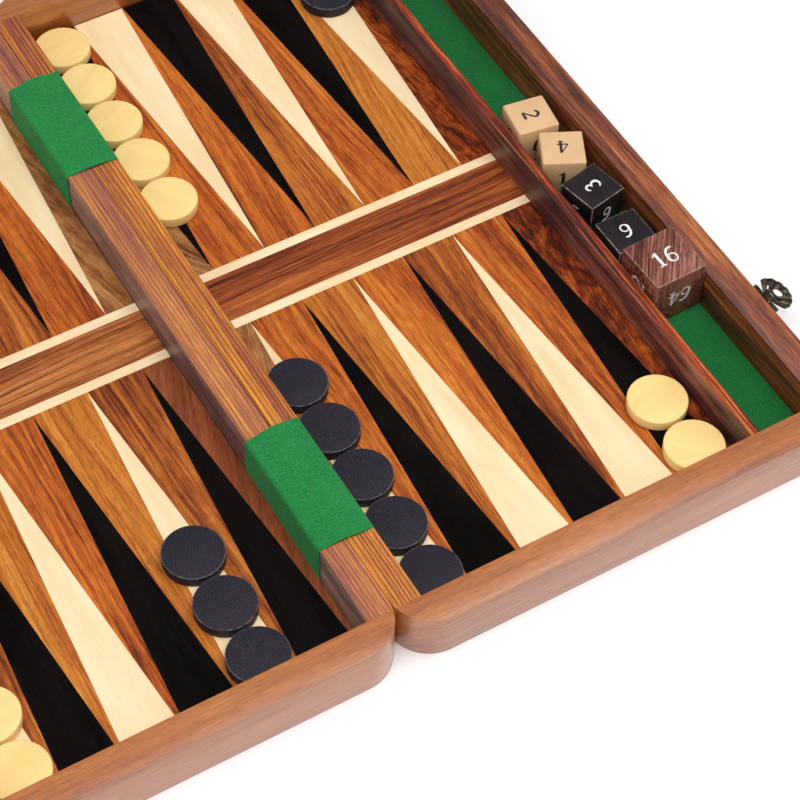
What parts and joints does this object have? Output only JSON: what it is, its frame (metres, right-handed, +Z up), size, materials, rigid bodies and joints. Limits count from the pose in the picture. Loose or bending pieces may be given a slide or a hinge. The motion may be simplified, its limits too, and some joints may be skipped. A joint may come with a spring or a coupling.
{
  "type": "backgammon set",
  "caption": "Folding wooden backgammon case lying open, with inlaid playing panels, felt-covered hinges, a hasp, checkers, dice and a doubling cube.",
  "frame": {"origin": "on the surface that the open set lies on, under the middle of the fold line", "axes": "+X from the fold towards the right half and its hasp, +Y along the fold away from the player, +Z up"},
  "size_m": [0.4321, 0.38, 0.0285],
  "materials": {
    "front_rail_wood": "waxed rosewood, orange brown with fine straight grain, eased edges",
    "end_rail_wood": "waxed rosewood, reddish orange streaks along its length",
    "bar_wood": "waxed rosewood, striped orange and purple brown along the bar",
    "divider_wood": "waxed rosewood, purple brown with red streaks on top",
    "base_wood": "plain brown board, sanded",
    "panel_wood": "satin marquetry: orange brown figured rosewood with ebony and cream maple points, a dark centre band and cream strings",
    "green_felt": "short green baize, dull, slightly fuzzy",
    "hinge_brass": "plain stamped brass, dull",
    "hasp_brass": "cast brass, dark antique, worn lighter on high spots",
    "dark_checker": "black stained wood, fine straight saw lines, satin",
    "pale_checker": "pale boxwood, cream yellow, satin",
    "dark_die": "black stained wood with white painted numerals",
    "pale_die": "pale boxwood with dark printed numerals",
    "cube_wood": "dark rosewood, sawn grain, worn lighter edges, white painted numerals"
  },
  "bodies": {
    "right_half": {"front_rail_right": "front_rail_wood", "back_rail_right": "front_rail_wood", "end_rail_right": "end_rail_wood", "hinge_rail_right": "bar_wood", "tray_divider_right": "divider_wood", "base_board_right": "base_wood", "playing_panel_right": "panel_wood", "tray_felt_right": "green_felt", "hinge_front_leaf_right": "hinge_brass", "hinge_back_leaf_right": "hinge_brass", "hinge_felt_front": "green_felt", "hinge_felt_back": "green_felt", "hasp_plate": "hasp_brass"},
    "left_half": {"front_rail_left": "front_rail_wood", "back_rail_left": "front_rail_wood", "end_rail_left": "end_rail_wood", "hinge_rail_left": "bar_wood", "tray_divider_left": "divider_wood", "base_board_left": "base_wood", "playing_panel_left": "panel_wood", "tray_felt_left": "green_felt", "hinge_front_leaf_left": "hinge_brass", "hinge_back_leaf_left": "hinge_brass", "catch_plate": "hasp_brass"},
    "hasp": {"hasp_leaf": "hasp_brass"},
    "checker_dark_01_body": {"checker_dark_01": "dark_checker"},
    "checker_dark_02_body": {"checker_dark_02": "dark_checker"},
    "checker_dark_03_body": {"checker_dark_03": "dark_checker"},
    "checker_dark_04_body": {"checker_dark_04": "dark_checker"},
    "checker_dark_05_body": {"checker_dark_05": "dark_checker"},
    "checker_pale_01_body": {"checker_pale_01": "pale_checker"},
    "checker_pale_02_body": {"checker_pale_02": "pale_checker"},
    "checker_dark_06_body": {"checker_dark_06": "dark_checker"},
    "checker_dark_07_body": {"checker_dark_07": "dark_checker"},
    "checker_dark_08_body": {"checker_dark_08": "dark_checker"},
    "checker_pale_03_body": {"checker_pale_03": "pale_checker"},
    "checker_pale_04_body": {"checker_pale_04": "pale_checker"},
    "checker_pale_05_body": {"checker_pale_05": "pale_checker"},
    "checker_pale_06_body": {"checker_pale_06": "pale_checker"},
    "checker_pale_07_body": {"checker_pale_07": "pale_checker"},
    "checker_pale_08_body": {"checker_pale_08": "pale_checker"},
    "checker_pale_09_body": {"checker_pale_09": "pale_checker"},
    "checker_pale_10_body": {"checker_pale_10": "pale_checker"},
    "checker_pale_11_body": {"checker_pale_11": "pale_checker"},
    "checker_pale_12_body": {"checker_pale_12": "pale_checker"},
    "checker_dark_09_body": {"checker_dark_09": "dark_checker"},
    "checker_dark_10_body": {"checker_dark_10": "dark_checker"},
    "checker_pale_13_body": {"checker_pale_13": "pale_checker"},
    "checker_pale_14_body": {"checker_pale_14": "pale_checker"},
    "checker_pale_15_body": {"checker_pale_15": "pale_checker"},
    "checker_dark_11_body": {"checker_dark_11": "dark_checker"},
    "checker_dark_12_body": {"checker_dark_12": "dark_checker"},
    "checker_dark_13_body": {"checker_dark_13": "dark_checker"},
    "checker_dark_14_body": {"checker_dark_14": "dark_checker"},
    "checker_dark_15_body": {"checker_dark_15": "dark_checker"},
    "die_dark_1_body": {"die_dark_1": "dark_die"},
    "die_dark_2_body": {"die_dark_2": "dark_die"},
    "die_pale_1_body": {"die_pale_1": "pale_die"},
    "die_pale_2_body": {"die_pale_2": "pale_die"},
    "doubling_cube_body": {"doubling_cube": "cube_wood"}
  },
  "joints": [
    {"name": "board_hinge", "type": "hinge", "parent": "right_half", "child": "left_half", "pos_m": [0, 0, 0.0237], "axis": [0, -1, 0], "range_deg": [-180, 0], "deforming": ["hinge_felt_front", "hinge_felt_back"]},
    {"name": "hasp_hinge", "type": "hinge", "parent": "right_half", "child": "hasp", "pos_m": [0.2094, -0.1203, 0.02], "axis": [0, 1, 0], "range_deg": [-90, 90]},
    {"name": "checker_dark_01_lift", "type": "slide", "parent": "right_half", "child": "checker_dark_01_body", "axis": [0, 0, 1], "range_m": [0, 0.03]},
    {"name": "checker_dark_02_lift", "type": "slide", "parent": "right_half", "child": "checker_dark_02_body", "axis": [0, 0, 1], "range_m": [0, 0.03]},
    {"name": "checker_dark_03_lift", "type": "slide", "parent": "right_half", "child": "checker_dark_03_body", "axis": [0, 0, 1], "range_m": [0, 0.03]},
    {"name": "checker_dark_04_lift", "type": "slide", "parent": "right_half", "child": "checker_dark_04_body", "axis": [0, 0, 1], "range_m": [0, 0.03]},
    {"name": "checker_dark_05_lift", "type": "slide", "parent": "right_half", "child": "checker_dark_05_body", "axis": [0, 0, 1], "range_m": [0, 0.03]},
    {"name": "checker_pale_01_lift", "type": "slide", "parent": "right_half", "child": "checker_pale_01_body", "axis": [0, 0, 1], "range_m": [0, 0.03]},
    {"name": "checker_pale_02_lift", "type": "slide", "parent": "right_half", "child": "checker_pale_02_body", "axis": [0, 0, 1], "range_m": [0, 0.03]},
    {"name": "checker_dark_06_lift", "type": "slide", "parent": "left_half", "child": "checker_dark_06_body", "axis": [0, 0, 1], "range_m": [0, 0.03]},
    {"name": "checker_dark_07_lift", "type": "slide", "parent": "left_half", "child": "checker_dark_07_body", "axis": [0, 0, 1], "range_m": [0, 0.03]},
    {"name": "checker_dark_08_lift", "type": "slide", "parent": "left_half", "child": "checker_dark_08_body", "axis": [0, 0, 1], "range_m": [0, 0.03]},
    {"name": "checker_pale_03_lift", "type": "slide", "parent": "left_half", "child": "checker_pale_03_body", "axis": [0, 0, 1], "range_m": [0, 0.03]},
    {"name": "checker_pale_04_lift", "type": "slide", "parent": "left_half", "child": "checker_pale_04_body", "axis": [0, 0, 1], "range_m": [0, 0.03]},
    {"name": "checker_pale_05_lift", "type": "slide", "parent": "left_half", "child": "checker_pale_05_body", "axis": [0, 0, 1], "range_m": [0, 0.03]},
    {"name": "checker_pale_06_lift", "type": "slide", "parent": "left_half", "child": "checker_pale_06_body", "axis": [0, 0, 1], "range_m": [0, 0.03]},
    {"name": "checker_pale_07_lift", "type": "slide", "parent": "left_half", "child": "checker_pale_07_body", "axis": [0, 0, 1], "range_m": [0, 0.03]},
    {"name": "checker_pale_08_lift", "type": "slide", "parent": "right_half", "child": "checker_pale_08_body", "axis": [0, 0, 1], "range_m": [0, 0.03]},
    {"name": "checker_pale_09_lift", "type": "slide", "parent": "right_half", "child": "checker_pale_09_body", "axis": [0, 0, 1], "range_m": [0, 0.03]},
    {"name": "checker_pale_10_lift", "type": "slide", "parent": "right_half", "child": "checker_pale_10_body", "axis": [0, 0, 1], "range_m": [0, 0.03]},
    {"name": "checker_pale_11_lift", "type": "slide", "parent": "right_half", "child": "checker_pale_11_body", "axis": [0, 0, 1], "range_m": [0, 0.03]},
    {"name": "checker_pale_12_lift", "type": "slide", "parent": "right_half", "child": "checker_pale_12_body", "axis": [0, 0, 1], "range_m": [0, 0.03]},
    {"name": "checker_dark_09_lift", "type": "slide", "parent": "right_half", "child": "checker_dark_09_body", "axis": [0, 0, 1], "range_m": [0, 0.03]},
    {"name": "checker_dark_10_lift", "type": "slide", "parent": "right_half", "child": "checker_dark_10_body", "axis": [0, 0, 1], "range_m": [0, 0.03]},
    {"name": "checker_pale_13_lift", "type": "slide", "parent": "left_half", "child": "checker_pale_13_body", "axis": [0, 0, 1], "range_m": [0, 0.03]},
    {"name": "checker_pale_14_lift", "type": "slide", "parent": "left_half", "child": "checker_pale_14_body", "axis": [0, 0, 1], "range_m": [0, 0.03]},
    {"name": "checker_pale_15_lift", "type": "slide", "parent": "left_half", "child": "checker_pale_15_body", "axis": [0, 0, 1], "range_m": [0, 0.03]},
    {"name": "checker_dark_11_lift", "type": "slide", "parent": "left_half", "child": "checker_dark_11_body", "axis": [0, 0, 1], "range_m": [0, 0.03]},
    {"name": "checker_dark_12_lift", "type": "slide", "parent": "left_half", "child": "checker_dark_12_body", "axis": [0, 0, 1], "range_m": [0, 0.03]},
    {"name": "checker_dark_13_lift", "type": "slide", "parent": "left_half", "child": "checker_dark_13_body", "axis": [0, 0, 1], "range_m": [0, 0.03]},
    {"name": "checker_dark_14_lift", "type": "slide", "parent": "left_half", "child": "checker_dark_14_body", "axis": [0, 0, 1], "range_m": [0, 0.03]},
    {"name": "checker_dark_15_lift", "type": "slide", "parent": "left_half", "child": "checker_dark_15_body", "axis": [0, 0, 1], "range_m": [0, 0.03]},
    {"name": "die_dark_1_lift", "type": "slide", "parent": "right_half", "child": "die_dark_1_body", "axis": [0, 0, 1], "range_m": [0, 0.03]},
    {"name": "die_dark_2_lift", "type": "slide", "parent": "right_half", "child": "die_dark_2_body", "axis": [0, 0, 1], "range_m": [0, 0.03]},
    {"name": "die_pale_1_lift", "type": "slide", "parent": "right_half", "child": "die_pale_1_body", "axis": [0, 0, 1], "range_m": [0, 0.03]},
    {"name": "die_pale_2_lift", "type": "slide", "parent": "right_half", "child": "die_pale_2_body", "axis": [0, 0, 1], "range_m": [0, 0.03]},
    {"name": "doubling_cube_lift", "type": "slide", "parent": "right_half", "child": "doubling_cube_body", "axis": [0, 0, 1], "range_m": [0, 0.03]}
  ]
}
